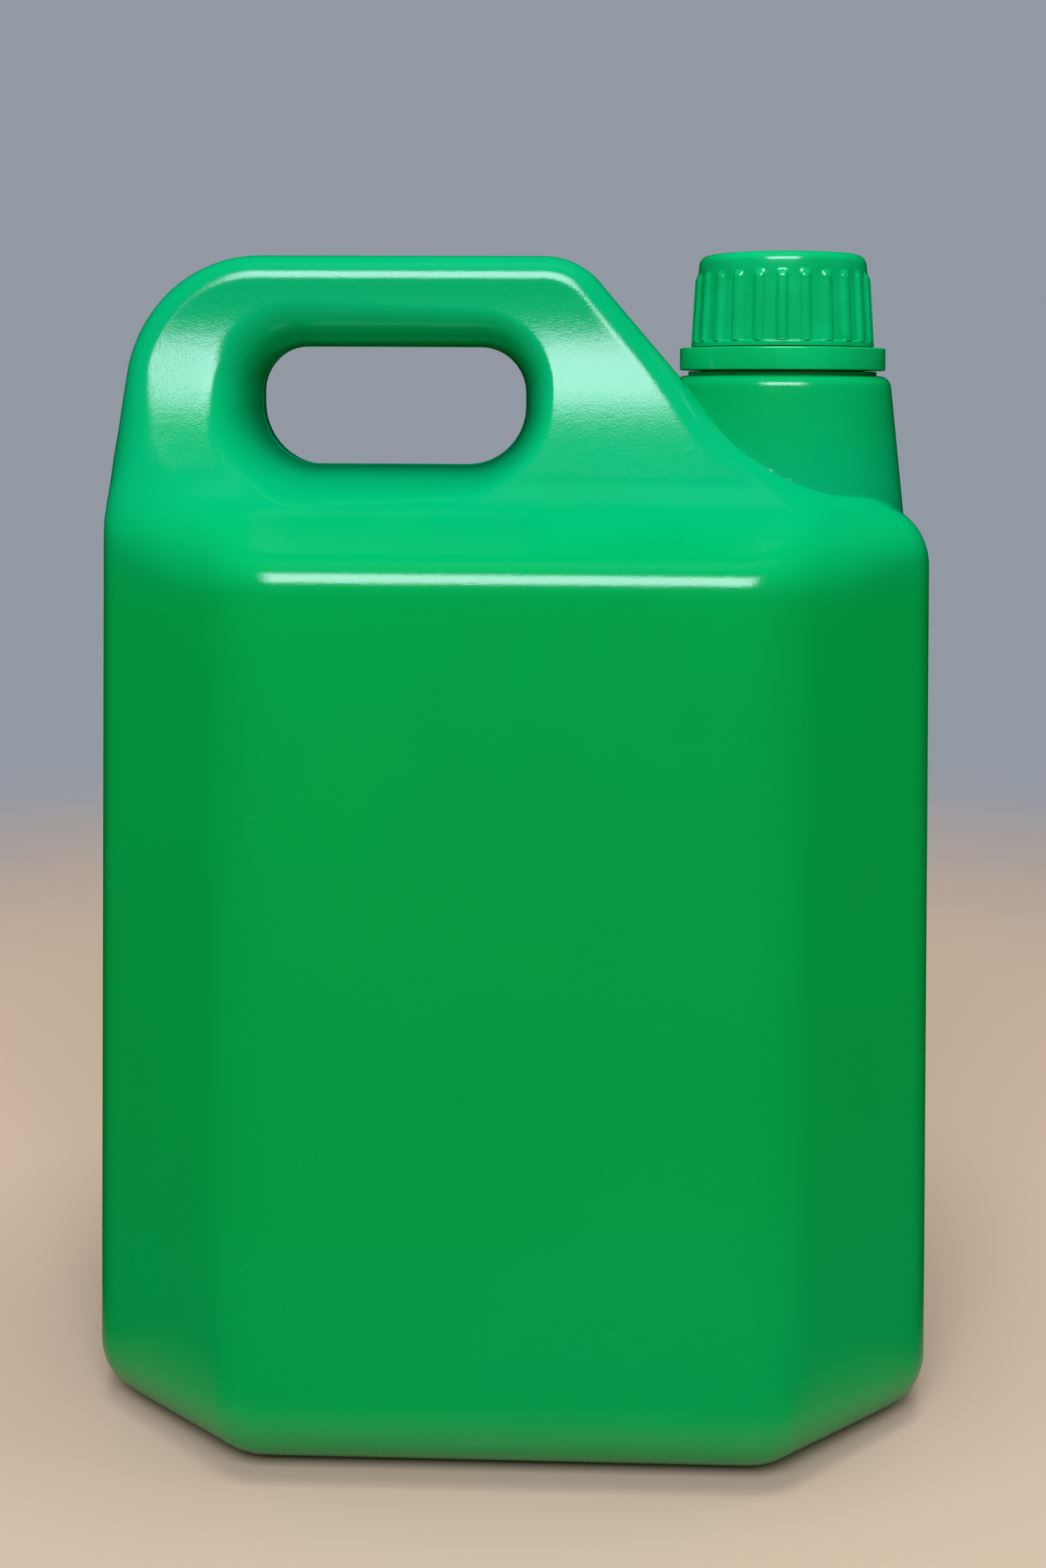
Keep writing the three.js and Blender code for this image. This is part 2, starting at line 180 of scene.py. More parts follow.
# Fineness of the meshes: grid counts, steps round the neck's axis, and how points crowd on the skin.
SHELL_GRID = (330, 96)
CAVITY_GRID = (110, 36)
NECK_STEPS = 168
BORE_STEPS = 125
BAND_STEPS = 240
LINER_STEPS = 160
RIM_SAMPLES = 3001
RIM_SPACING = 3.0
RIM_TURN = math.radians(5)
SECTION_SAMPLES = 640
SECTION_SPACING = 4.2
SECTION_TURN = math.radians(6)
PARTING_REACH = 1.3
PARTING_CROWDING = 2.3
FAN_X, FAN_Z = GRIP_CENTRE[0], GRIP_CENTRE[1] - 10
FAN_REACH = 420.0
HOLE_REACH = 90.0
HOLE_CLEAR = 3.0
THREAD_SPACING = 0.42
ON_WALL = 0.01
SHARP_ANGLE = math.radians(40)
SKIN_SHARP_ANGLE = math.radians(34)

# Finishes and painted light: linear colours, and the heights and distances in metres over which they
# change.
BODY_TONE = (0.0, 0.305, 0.045, 1)
# Painted light: paler, bluer tone of the top, as if lit by cool light from above, over these heights.
TOP_PAINTED_LIGHT_TONE = (0.0, 0.335, 0.115, 1)
TOP_PAINTED_LIGHT_Z = (0.190, 0.225)
# Painted light: lighter, bluer tone of the lower walls, over these heights.
LOW_PAINTED_LIGHT_TONE = (0.0, 0.315, 0.062, 1)
LOW_PAINTED_LIGHT_Z = (0.025, 0.095)
# Painted light: lighter, bluer tone of the neck's tower, within these distances of its axis and above
# these heights.
TOWER_PAINTED_LIGHT_TONE = (0.0, 0.325, 0.08, 1)
TOWER_PAINTED_LIGHT_REACH = (0.028, 0.030)
TOWER_PAINTED_LIGHT_Z = (0.217, 0.221)
CLOUD_TONE = (0.0, 0.24, 0.045, 1)
STREAK_TONE = (0.002, 0.36, 0.085, 1)
# Scuffs at the foot, over these heights: real wear, and also a painted pale reflection of the floor.
WORN_AND_PAINTED_REFLECTION_TONE = (0.08, 0.30, 0.12, 1)
WORN_AND_PAINTED_REFLECTION_Z = (0.002, 0.022)
FLECK_TONE = (0.30, 0.50, 0.38, 1)
FLECK_Z = (0.02, 0.05)
CAP_TONES = ((0.0, 0.33, 0.09, 1), (0.0, 0.39, 0.12, 1))
BAND_TONES = ((0.0, 0.35, 0.085, 1), (0.0, 0.40, 0.105, 1))
FOAM_TONES = ((0.66, 0.63, 0.55, 1), (0.80, 0.78, 0.70, 1))
PLASTIC_IOR = 1.5

# Floor and backdrop, in metres and linear colours.
FLOOR_HALF = 5.0
FLOOR_COLOUR = (0.535, 0.39, 0.27, 1)
FLOOR_MIRRORED = (0.34, 0.25, 0.17, 1)
FLOOR_FADE = (0.30, 0.80)
FLOOR_MIRRORED_REACH = (0.003, 0.033)
BACKDROP_COLOUR = (0.29, 0.32, 0.37, 1)


def smooth_step(t):
    """Eased step: 0 below 0, 1 above 1, and level at both ends."""
    t = np.clip(t, 0, 1)
    return t * t * (3 - 2 * t)


def eased(value, span, start, end):
    """Eased change from start to end while value crosses the span."""
    return start + (end - start) * smooth_step((value - span[0]) / (span[1] - span[0]))


def rounded_corner(a, b, cosine, radius):
    """Distance to what lies inside both a and b, with its edge rounded to the radius.

    cosine is that of the angle between the two outward normals. The arc's centre is where both
    distances are minus the radius, and a point that faces the arc is measured from that centre.
    """
    p = a + radius
    q = b + radius
    spread = 1 - cosine**2
    along_a = (p - q * cosine) / spread
    along_b = (q - p * cosine) / spread
    arc = np.sqrt(np.maximum(p * along_a + q * along_b, 0)) - radius
    return np.where((along_a > 0) & (along_b > 0), arc, np.maximum(a, b))


def rounded_valley(a, b, cosine, radius):
    """Distance to what lies inside either a or b, with a fillet of the radius between them."""
    return -rounded_corner(-a, -b, cosine, radius)


def chamfered_plan(side, front, side_radius, front_radius):
    """Distance to a rectangle with chamfers, from the distances to its side and its front.

    A chamfer cuts off the corner over its runs across and back. Its normal leans to the front by the
    run across and to the side by the run back, and it meets both in rounded corners.
    """
    chamfer = side * CHAMFER_BACK + front * CHAMFER_ACROSS + CHAMFER_ACROSS * CHAMFER_BACK
    chamfer = chamfer / CHAMFER_LENGTH
    end = rounded_corner(side, chamfer, CHAMFER_BACK / CHAMFER_LENGTH, side_radius)
    return rounded_corner(end, front, CHAMFER_ACROSS / CHAMFER_LENGTH, front_radius)


def plan_distance(x, y, z, crown):
    """Distance to the body seen from above.

    It is a chamfered plan whose front corners change towards the base. The sides bow: they fall back
    from the mid-plane as the square of the way to the chamfer. At the handle's end the side is
    bounded by the crown too, so that the chamfer rounds into its back edge.
    """
    bow = SIDE_BOW * np.clip(np.abs(y) / (HALF_DEPTH - CHAMFER_BACK), 0, 1) ** 2
    side = np.maximum(np.abs(x) - HALF_WIDTH + bow, np.where(x < 0, crown, -HALF_WIDTH))
    up = np.clip((z - BASE_RADIUS) / (FOOT_CORNER_TOP_Z - BASE_RADIUS), 0, 1)
    corner = FOOT_CORNER_RADIUS + (FRONT_CORNER_RADIUS - FOOT_CORNER_RADIUS) * up
    return chamfered_plan(side, np.abs(y) - HALF_DEPTH, SIDE_CORNER_RADIUS, corner)


def base_height(x, y):
    """Height of the underside: level at the rim, and up an eased slope to the recess inside it."""
    side, front = np.abs(x) - HALF_WIDTH, np.abs(y) - HALF_DEPTH
    plan = chamfered_plan(side, front, RECESS_CORNER_RADIUS, RECESS_CORNER_RADIUS)
    return RECESS_DEPTH * smooth_step((-plan - BASE_RADIUS - RIM_WIDTH) / RECESS_SLOPE)


def crown_distance(x, z):
    """Distance to the can seen from the front, above its roof.

    It is bounded by the leaning back edge, the handle's top, the slope at its nose and the hollow
    crest down to the neck's platform.
    """
    rise = HANDLE_TOP_Z - RIDGE_FOOT_Z
    lean = math.hypot(BACK_LEAN, rise)
    back = (-(x + HALF_WIDTH) * rise + (z - RIDGE_FOOT_Z) * BACK_LEAN) / lean
    top = z - HANDLE_TOP_Z
    slope = (x - SLOPE_X) * math.sin(SLOPE_ANGLE) + (z - SLOPE_Z) * math.cos(SLOPE_ANGLE)
    platform = (x - HALF_WIDTH) * math.sin(PLATFORM_TILT) + (z - PLATFORM_Z) * math.cos(PLATFORM_TILT)
    crest = rounded_valley(slope, platform, math.cos(SLOPE_ANGLE - PLATFORM_TILT), CREST_RADIUS)
    handle = rounded_corner(back, top, BACK_LEAN / lean, BACK_RADIUS)
    return rounded_corner(handle, crest, math.cos(SLOPE_ANGLE), NOSE_RADIUS)


def grip_distance(x, z):
    """Distance to the grip hole in the mid-plane: a rectangle, its corners rounder at the floor."""
    corner = np.where(z < GRIP_CENTRE[1], GRIP_FLOOR_CORNER, GRIP_TOP_CORNER)
    across = np.abs(x - GRIP_CENTRE[0]) - GRIP_HALF[0] + corner
    up = np.abs(z - GRIP_CENTRE[1]) - GRIP_HALF[1] + corner
    outside = np.hypot(np.maximum(across, 0), np.maximum(up, 0))
    return outside + np.minimum(np.maximum(across, up), 0) - corner


def ridge_half(z):
    """Half the ridge's depth at a height, and its faces' lean there.

    The lean is even up to a height and eases from there to a steeper face below the handle's edge.
    The depth takes off the lean summed from the foot; the sum of an eased step is t^3 - t^4 / 2.
    """
    low, high = RIDGE_EASE_Z
    t = (z - low) / (high - low)
    inside = np.clip(t, 0, 1)
    change = RIDGE_LEAN_TOP - RIDGE_LEAN_FOOT
    lean = RIDGE_LEAN_FOOT + change * smooth_step(t)
    summed = inside**3 - inside**4 / 2 + np.maximum(t - 1, 0)
    half = RIDGE_FOOT_HALF - RIDGE_LEAN_FOOT * (z - RIDGE_FOOT_Z) - change * (high - low) * summed
    return half, lean


def flared_hole(solid, hole, width, depth):
    """Distance to the solid less a hole whose wall curves out to the faces as a quarter ellipse.

    width is how far the rim spreads on a face and depth how far in it starts. Both distances are
    counted in those lengths from where the curve ends; the curve is where they add up, squared, to 1.
    """
    across = np.maximum(1 - hole / width, 0)
    up = np.maximum(1 + solid / depth, 0)
    reach = np.hypot(across, up)
    slope = np.hypot(across / width, up / depth) / np.maximum(reach, 1e-6)
    curve = (reach - 1) / np.maximum(slope, 1e-6)
    return np.where(reach > 0.2, curve, np.maximum(solid, -hole))


def can_distance(x, y, z):
    """Distance to the outside of the can without its neck.

    The upright walls are those of the plan and the crown. The faces above are the roof and, standing
    out of it in a fillet, the two leaning faces of the ridge. Walls and faces meet in rounded edges,
    and so do the walls and the recessed base. The grip hole is taken out with a flared rim, wider at
    the back and the top.
    """
    y = np.abs(y)
    crown = crown_distance(x, z)
    plan = plan_distance(x, y, z, crown)
    neck_shoulder = eased(x, NECK_SHOULDER_X, 0, NECK_SHOULDER_RADIUS)
    walls = rounded_corner(plan, crown, math.sin(PLATFORM_TILT), neck_shoulder)
    roof = (z - SHOULDER_Z) * math.cos(ROOF_ANGLE) - (HALF_DEPTH - y) * math.sin(ROOF_ANGLE)
    half, lean = ridge_half(z)
    ridge = (y - half) / np.sqrt(1 + lean**2)
    fold = math.sin(ROOF_ANGLE + math.atan(RIDGE_LEAN_FOOT))
    faces = rounded_valley(roof, ridge, fold, RIDGE_FOOT_FILLET)
    up = smooth_step((z - SHOULDER_Z - COSINE_LAG) / (RIDGE_FOOT_Z + COSINE_LAG - SHOULDER_Z))
    shoulder = eased(np.abs(x), CHAMFER_EDGE_X, SHOULDER_RADIUS, CHAMFER_EDGE_RADIUS)
    handle = eased(x, CREST_EDGE_X, HANDLE_EDGE_RADIUS, CREST_EDGE_RADIUS)
    edge = eased(z, EDGE_EASE_Z, shoulder, handle)
    cosine = SHOULDER_COSINE + (HANDLE_COSINE - SHOULDER_COSINE) * up
    solid = rounded_corner(walls, faces, cosine, edge)
    base = base_height(x, y) - z
    base_edge = eased(np.abs(x), BASE_SIDE_X, BASE_RADIUS, BASE_SIDE_RADIUS)
    solid = rounded_corner(solid, base, 0, base_edge)
    back = np.clip((GRIP_CENTRE[0] - x) / GRIP_HALF[0], -1, 1)
    top = np.clip((z - GRIP_CENTRE[1]) / GRIP_HALF[1], -1, 1)
    width = FLARE_WIDTH + FLARE_WIDER_BACK * back + FLARE_WIDER_TOP * top
    depth = FLARE_REACH * np.maximum(half, HANDLE_EDGE_RADIUS)
    return flared_hole(solid, grip_distance(x, z), width, depth)


def crossing(value, near, far, rounds=42):
    """Where value, below zero at near and above it at far, passes zero: the span halves each round."""
    for _ in range(rounds):
        middle = (near + far) / 2
        below = value(middle) < 0
        near = np.where(below, middle, near)
        far = np.where(below, far, middle)
    return (near + far) / 2


def turning(x, y):
    """Angle by which each row's path turns at its steps, shared out to the steps."""
    heading = np.unwrap(np.arctan2(np.diff(y), np.diff(x)))
    bend = np.abs(np.diff(heading))
    before = np.concatenate([bend[..., :1] * 0, bend], axis=-1)
    after = np.concatenate([bend, bend[..., :1] * 0], axis=-1)
    return (before + after) / 2


def even_rows(rows, reach=5):
    """Rows of a closed grid, each averaged with its neighbours under a raised cosine."""
    steps = np.arange(-reach, reach + 1)
    share = 1 + np.cos(math.pi * steps / (reach + 1))
    return sum(np.roll(rows, step, axis=0) * part for step, part in zip(steps, share / share.sum()))


def shell_points(inset, around, across):
    """Skin of the can on a grid of two parameters, set in from the outside by inset.

    One parameter goes round the grip hole as a fan of half-planes about an axis through the hole.
    The other goes round the section that each half-plane cuts: from the hole's wall over the front
    to the outer edge and back behind. A point is found on a ray from the section's middle, where
    the distance formula passes zero, and the points then close up where the section turns.
    """

    def hole_radius(angle):
        def value(t):
            return grip_distance(FAN_X + t * np.cos(angle), FAN_Z + t * np.sin(angle)) - inset

        return crossing(value, np.zeros_like(angle), np.full_like(angle, HOLE_REACH))

    def rim_radius(angle, hole):
        def value(t):
            return can_distance(FAN_X + t * np.cos(angle), 0.0, FAN_Z + t * np.sin(angle)) + inset

        return crossing(value, hole + HOLE_CLEAR, np.full_like(angle, FAN_REACH))

    dense = np.linspace(0, 2 * math.pi, RIM_SAMPLES)
    rim = rim_radius(dense, hole_radius(dense))
    rim_x, rim_z = rim * np.cos(dense), rim * np.sin(dense)
    step = np.hypot(np.diff(rim_x), np.diff(rim_z))
    weight = step / RIM_SPACING + turning(rim_x, rim_z) / RIM_TURN
    place = np.concatenate([[0], np.cumsum(weight)]) / weight.sum()
    angle = np.interp(np.arange(around) / around, place, dense)
    hole = hole_radius(angle)
    rim = rim_radius(angle, hole)
    angle, hole, rim = angle[:, None], hole[:, None], rim[:, None]
    middle = (hole + rim) / 2

    sweep = np.linspace(0, math.pi, SECTION_SAMPLES)[None, :]

    def section_value(t):
        out = middle - t * np.cos(sweep)
        x, z = FAN_X + out * np.cos(angle), FAN_Z + out * np.sin(angle)
        return can_distance(x, t * np.sin(sweep), z) + inset

    inwards = np.maximum(np.cos(sweep), 1e-3)
    farthest = np.minimum(middle / inwards, FAN_REACH)
    ray = crossing(section_value, np.zeros((around, sweep.size)), farthest)
    out, depth = middle - ray * np.cos(sweep), ray * np.sin(sweep)
    step = np.hypot(np.diff(out), np.diff(depth))
    near_parting = (depth[:, 1:] + depth[:, :-1]) / 2 < PARTING_REACH
    weight = step / SECTION_SPACING + turning(out, depth) / SECTION_TURN
    weight = weight + step * near_parting * PARTING_CROWDING
    place = np.concatenate([np.zeros((around, 1)), np.cumsum(weight, axis=1)], axis=1)
    place = even_rows(place / place[:, -1:]) + 2 * np.arange(around)[:, None]
    wanted = np.linspace(0, 1, across)[None, :] + 2 * np.arange(around)[:, None]
    out = np.interp(wanted.ravel(), place.ravel(), out.ravel()).reshape(wanted.shape)
    depth = np.interp(wanted.ravel(), place.ravel(), depth.ravel()).reshape(wanted.shape)
    depth[:, [0, -1]] = 0
    front = np.stack([FAN_X + out * np.cos(angle), -depth, FAN_Z + out * np.sin(angle)], axis=-1)
    back = front[:, -2:0:-1] * np.array([1, -1, 1])
    return np.concatenate([front, back], axis=1)


def outward(points, step=0.02):
    """Outward unit normals of the can's skin: the slope of its distance formula."""
    slopes = []
    for axis in range(3):
        shift = np.zeros(3)
        shift[axis] = step
        ahead = can_distance(*np.moveaxis(points + shift, -1, 0))
        behind = can_distance(*np.moveaxis(points - shift, -1, 0))
        slopes.append(ahead - behind)
    slopes = np.stack(slopes, axis=-1)
    return slopes / np.maximum(np.linalg.norm(slopes, axis=-1, keepdims=True), 1e-9)


def with_parting_line(points):
    """The skin with a fine ridge where the mould halves met: a bell-shaped swell at the mid-plane."""
    bell = np.exp(-((points[..., 1] / PARTING_WIDTH) ** 2))
    swell = PARTING_HEIGHT * bell * (points[..., 2] > PARTING_BOTTOM_Z)
    return points + outward(points) * swell[..., None]


def ring_quads(rows, columns, closed_rows):
    """Quads of a grid whose columns close on themselves, and whose rows do too if closed_rows."""
    last = rows if closed_rows else rows - 1
    row, column = np.meshgrid(np.arange(last), np.arange(columns), indexing="ij")
    below, right = (row + 1) % rows, (column + 1) % columns
    here, beneath = row * columns, below * columns
    corners = [here + column, here + right, beneath + right, beneath + column]
    return np.stack(corners, axis=-1).reshape(-1, 4)


def make_mesh(name, points, quads, triangles, sharp):
    """Mesh object with faces outwards: they turn over where the volume in them is negative."""
    fans = np.concatenate([quads[:, [0, 1, 2]], quads[:, [0, 2, 3]], triangles])
    a, b, c = (points[fans[:, i]] for i in range(3))
    if np.einsum("ij,ij->", a, np.cross(b, c)) < 0:
        quads, triangles = quads[:, ::-1], triangles[:, ::-1]
    mesh = bpy.data.meshes.new(name)
    mesh.vertices.add(len(points))
    mesh.vertices.foreach_set("co", (points * MM).astype(np.float32).ravel())
    loops = np.concatenate([quads.ravel(), triangles.ravel()]).astype(np.int32)
    mesh.loops.add(len(loops))
    mesh.loops.foreach_set("vertex_index", loops)
    sizes = np.concatenate([np.full(len(quads), 4), np.full(len(triangles), 3)])
    mesh.polygons.add(len(sizes))
    mesh.polygons.foreach_set("loop_start", (np.cumsum(sizes) - sizes).astype(np.int32))
    mesh.update(calc_edges=True)
    return mesh_object(name, mesh, sharp)


def mesh_object(name, mesh, sharp):
    """Object of a mesh shaded smooth, with a hard line only where faces meet at more than sharp."""
    mesh.polygons.foreach_set("use_smooth", np.ones(len(mesh.polygons), dtype=bool))
    mesh.set_sharp_from_angle(angle=sharp)
    made = bpy.data.objects.new(name, mesh)
    bpy.context.scene.collection.objects.link(made)
    return made


def no_triangles():
    return np.zeros((0, 3), dtype=int)


def skin_object(name, points):
    """Closed mesh of a grid that closes on itself both ways."""
    quads = ring_quads(*points.shape[:2], True)
    return make_mesh(name, points.reshape(-1, 3), quads, no_triangles(), SHARP_ANGLE)


def rounded_path(corners, closed=False, arc_step=math.radians(11)):
    """Points of a path through corners (radius, height, rounding): straight runs and tangent arcs."""
    spots = np.array([c[:2] for c in corners], dtype=float)
    path = []
    for i, spot in enumerate(spots):
        rounding = corners[i][2] if len(corners[i]) > 2 else 0
        if rounding == 0 or (not closed and i in (0, len(spots) - 1)):
            path.append(spot[None])
            continue
        into = spot - spots[i - 1]
        away = spots[(i + 1) % len(spots)] - spot
        into, away = into / np.linalg.norm(into), away / np.linalg.norm(away)
        side = np.sign(into[0] * away[1] - into[1] * away[0])
        turn = math.acos(np.clip(into @ away, -1, 1))
        start = spot - into * rounding * math.tan(turn / 2)
        inside = side * np.array([-into[1], into[0]])
        swing = np.linspace(0, turn, max(3, math.ceil(turn / arc_step) + 1))[:, None]
        path.append(start + inside * rounding * (1 - np.cos(swing)) + into * rounding * np.sin(swing))
    return np.concatenate(path)


def straight(start, end, spacing):
    """Points of a straight run of a profile, evenly spaced."""
    length = math.hypot(end[0] - start[0], end[1] - start[1])
    return np.linspace(start, end, max(2, round(length / spacing) + 1))


def turned_object(name, path, steps, swell=None, closed=False, sharp=SHARP_ANGLE):
    """Profile carried round the neck's axis.

    swell adds to the radius by angle and place on the profile.
    An open profile starts and ends on the axis, where a fan of triangles closes it.
    """
    angle = np.arange(steps) * 2 * math.pi / steps
    ring = path if closed else path[1:-1]
    radius = np.repeat(ring[:, :1], steps, axis=1)
    height = np.repeat(ring[:, 1:], steps, axis=1)
    if swell is not None:
        radius = radius + swell(angle[None, :], radius, height)
    x, y = NECK_X + radius * np.cos(angle), radius * np.sin(angle)
    points = np.stack([x, y, height], axis=-1).reshape(-1, 3)
    quads = ring_quads(len(ring), steps, closed)
    if closed:
        return make_mesh(name, points, quads, no_triangles(), sharp)
    count = len(points)
    ends = np.array([[NECK_X, 0, path[0, 1]], [NECK_X, 0, path[-1, 1]]])
    column = np.arange(steps)
    after = (column + 1) % steps
    first = np.stack([np.full(steps, count), after, column], axis=-1)
    base = count - steps
    last = np.stack([np.full(steps, count + 1), base + column, base + after], axis=-1)
    return make_mesh(name, np.concatenate([points, ends]), quads, np.concatenate([first, last]), sharp)


def thread_height(angle, z, bottom, turns):
    """How far a thread stands out of its wall.

    The ridge's middle climbs one pitch a turn from bottom. A point takes the nearest turn, and the
    ridge has a flat crest between eased flanks and fades out at both ends.
    """
    middle = bottom + THREAD_PITCH * angle / (2 * math.pi)
    turn = np.round((z - middle) / THREAD_PITCH)
    off = np.abs(z - middle - turn * THREAD_PITCH)
    along = turn + angle / (2 * math.pi)
    flank = smooth_step((THREAD_BASE / 2 - off) / ((THREAD_BASE - THREAD_CREST) / 2))
    ends = smooth_step(np.minimum(along, turns - along) / THREAD_FADE)
    return THREAD_HEIGHT * flank * ends


def neck_swell(angle, radius, z):
    """The thread on the finish, and the weld that eases the tower's foot out over the body.

    The weld is a quarter round: it grows as the tower's wall comes within its radius of the body.
    """
    on_finish = (np.abs(radius - FINISH_RADIUS) < ON_WALL) & (z < NECK_LIP_Z - 0.8)
    thread = thread_height(angle, z, NECK_THREAD_Z, NECK_THREAD_TURNS) * on_finish
    clear = can_distance(NECK_X + radius * np.cos(angle), radius * np.sin(angle), z)
    gap = WELD_RADIUS - np.clip(clear, 0, WELD_RADIUS)
    weld = WELD_RADIUS - np.sqrt(np.maximum(WELD_RADIUS**2 - gap**2, 0))
    on_tower = (z < TOWER_TOP_Z - TOWER_EDGE_RADIUS) & (z > TOWER_ROOT_Z + 0.5)
    return thread + weld * on_tower


def tower_radius(z):
    return TOWER_TOP_RADIUS + TOWER_SLANT * (TOWER_TOP_Z - z)


def join_meshes(base, operation, other):
    """Adds other to base, or cuts it out, as closed solids."""
    step = base.modifiers.new(operation.lower(), "BOOLEAN")
    step.operation = operation
    step.solver = "MANIFOLD"
    step.object = other


def merge_corners(mesh):
    """Makes one of corners that all but coincide, as the joining of solids can leave them."""
    work = bmesh.new()
    work.from_mesh(mesh)
    bmesh.ops.remove_doubles(work, verts=work.verts, dist=MERGE_REACH * MM)
    work.to_mesh(mesh)
    work.free()


def build_canister():
    """The whole can as one hollow skin: shell and neck together, less the space inside."""
    shell = skin_object("shell", with_parting_line(shell_points(0.0, *SHELL_GRID)))
    cavity = skin_object("cavity", shell_points(WALL, *CAVITY_GRID))
    wall_foot = (tower_radius(TOWER_ROOT_Z), TOWER_ROOT_Z)
    wall_top = (tower_radius(TOWER_WALL_TOP_Z), TOWER_WALL_TOP_Z)
    tower = np.concatenate([
        [[0, TOWER_ROOT_Z]],
        straight(wall_foot, wall_top, spacing=0.8),
        rounded_path([
            (tower_radius(TOWER_EDGE_Z), TOWER_EDGE_Z),
            (TOWER_TOP_RADIUS, TOWER_TOP_Z, TOWER_EDGE_RADIUS),
            (FLANGE_RADIUS, TOWER_TOP_Z),
            (FLANGE_RADIUS, FLANGE_TOP_Z, 0.3),
            (COLLAR_RADIUS, FLANGE_TOP_Z, 0.5),
            (COLLAR_RADIUS, BEAD_BOTTOM_Z),
            (BEAD_RADIUS, BEAD_BOTTOM_Z, 0.25),
            (BEAD_RADIUS, BEAD_TOP_Z - 0.85, 0.4),
            (COLLAR_RADIUS, BEAD_TOP_Z),
            (FINISH_RADIUS, BEAD_TOP_Z, 0.5),
            (FINISH_RADIUS, BEAD_TOP_Z + 1),
        ]),
        straight(
            (FINISH_RADIUS, BEAD_TOP_Z + 1.4),
            (FINISH_RADIUS, NECK_LIP_Z - 1),
            spacing=THREAD_SPACING,
        ),
        rounded_path([
            (FINISH_RADIUS, NECK_LIP_Z - 0.8),
            (FINISH_RADIUS, NECK_LIP_Z, 0.5),
            (10, NECK_LIP_Z),
        ]),
        [[0, NECK_LIP_Z]],
    ])
    neck = turned_object("neck", tower, NECK_STEPS, neck_swell)
    bore = turned_object(
        "bore",
        rounded_path([
            (0, SHOULDER_Z - 4),
            (BORE_FOOT_RADIUS, SHOULDER_Z - 4),
            (tower_radius(BORE_FOOT_Z) - WALL, BORE_FOOT_Z),
            (tower_radius(BORE_SHOULDER_Z) - WALL, BORE_SHOULDER_Z, 3),
            (BORE_RADIUS, TOWER_TOP_Z - WALL, 1),
            (BORE_RADIUS, NECK_LIP_Z - 0.5, 1),
            (BORE_RADIUS + 0.5, NECK_LIP_Z + 2),
            (0, NECK_LIP_Z + 2),
        ]),
        BORE_STEPS,
    )
    join_meshes(shell, "UNION", neck)
    join_meshes(shell, "DIFFERENCE", cavity)
    join_meshes(shell, "DIFFERENCE", bore)
    bpy.context.view_layer.update()
    joined = shell.evaluated_get(bpy.context.evaluated_depsgraph_get())
    finished = bpy.data.meshes.new_from_object(joined)
    for helper in (shell, cavity, neck, bore):
        bpy.data.meshes.remove(helper.data)
    merge_corners(finished)
    finished.name = "canister_skin"
    return mesh_object("canister_skin", finished, SKIN_SHARP_ANGLE)


def cap_swell(angle, radius, z):
    """Grip ribs outside the skirt and the thread inside it.

    A rib is a flat crest between eased flanks, and eases out at its top. Ribs stand at even steps of
    angle, turned by a share of a step.
    """
    outside = (radius > CAP_SKIRT_TOP[0] - 0.3) & (radius < CAP_FOOT_RADIUS - 0.5)
    pitch = 2 * math.pi / RIB_COUNT
    off = np.abs((angle + pitch * (0.5 - RIB_TURN)) % pitch - pitch / 2) * radius
    flank = smooth_step((RIB_FOOT_WIDTH / 2 - off) / ((RIB_FOOT_WIDTH - RIB_CREST_WIDTH) / 2))
    top = smooth_step((CAP_SKIRT_TOP[1] + 0.3 - z) / 2.2)
    rib = RIB_DEPTH * flank * top * outside * (z > CAP_SKIRT_FOOT[1] - 0.05)
    inside = np.abs(radius - CAP_BORE_RADIUS) < ON_WALL
    return rib - thread_height(angle, z, CAP_THREAD_Z, CAP_THREAD_TURNS) * inside


def build_cap():
    """The cap: a profile over its crown, down the ribbed skirt and up the threaded inside."""
    top, foot = CAP_SKIRT_TOP, CAP_SKIRT_FOOT
    path = np.concatenate([
        rounded_path([
            (0, CAP_TOP_Z),
            (8, CAP_TOP_Z - 0.05, 20),
            (CAP_DOME_RADIUS, CAP_TOP_Z - CAP_CROWN, CAP_EDGE_RADIUS),
            (top[0], top[1] + 0.6),
        ], arc_step=math.radians(8)),
        straight((top[0], top[1] + 0.3), (top[0] + 0.02, top[1] - 2.0), spacing=0.2),
        straight((top[0] + 0.07, top[1] - 2.8), (foot[0], foot[1] + 0.5), spacing=1.2),
        rounded_path([
            (foot[0], foot[1] + 0.3),
            (foot[0], foot[1], 0.2),
            (CAP_FOOT_RADIUS, foot[1], 0.45),
            (CAP_FOOT_RADIUS, CAP_BOTTOM_Z, 0.12),
            (CAP_BORE_RADIUS, CAP_BOTTOM_Z, 0.4),
            (CAP_BORE_RADIUS, CAP_BOTTOM_Z + 0.8),
        ]),
        straight(
            (CAP_BORE_RADIUS, CAP_BOTTOM_Z + 1.1),
            (CAP_BORE_RADIUS, CAP_CEILING_Z - 1.1),
            spacing=THREAD_SPACING,
        ),
        rounded_path([
            (CAP_BORE_RADIUS, CAP_CEILING_Z - 0.9),
            (CAP_BORE_RADIUS, CAP_CEILING_Z, 0.3),
            (6, CAP_CEILING_Z),
        ]),
        [[0, CAP_CEILING_Z]],
    ])
    return turned_object("cap_skin", path, RIB_COUNT * RIB_STEPS, cap_swell)


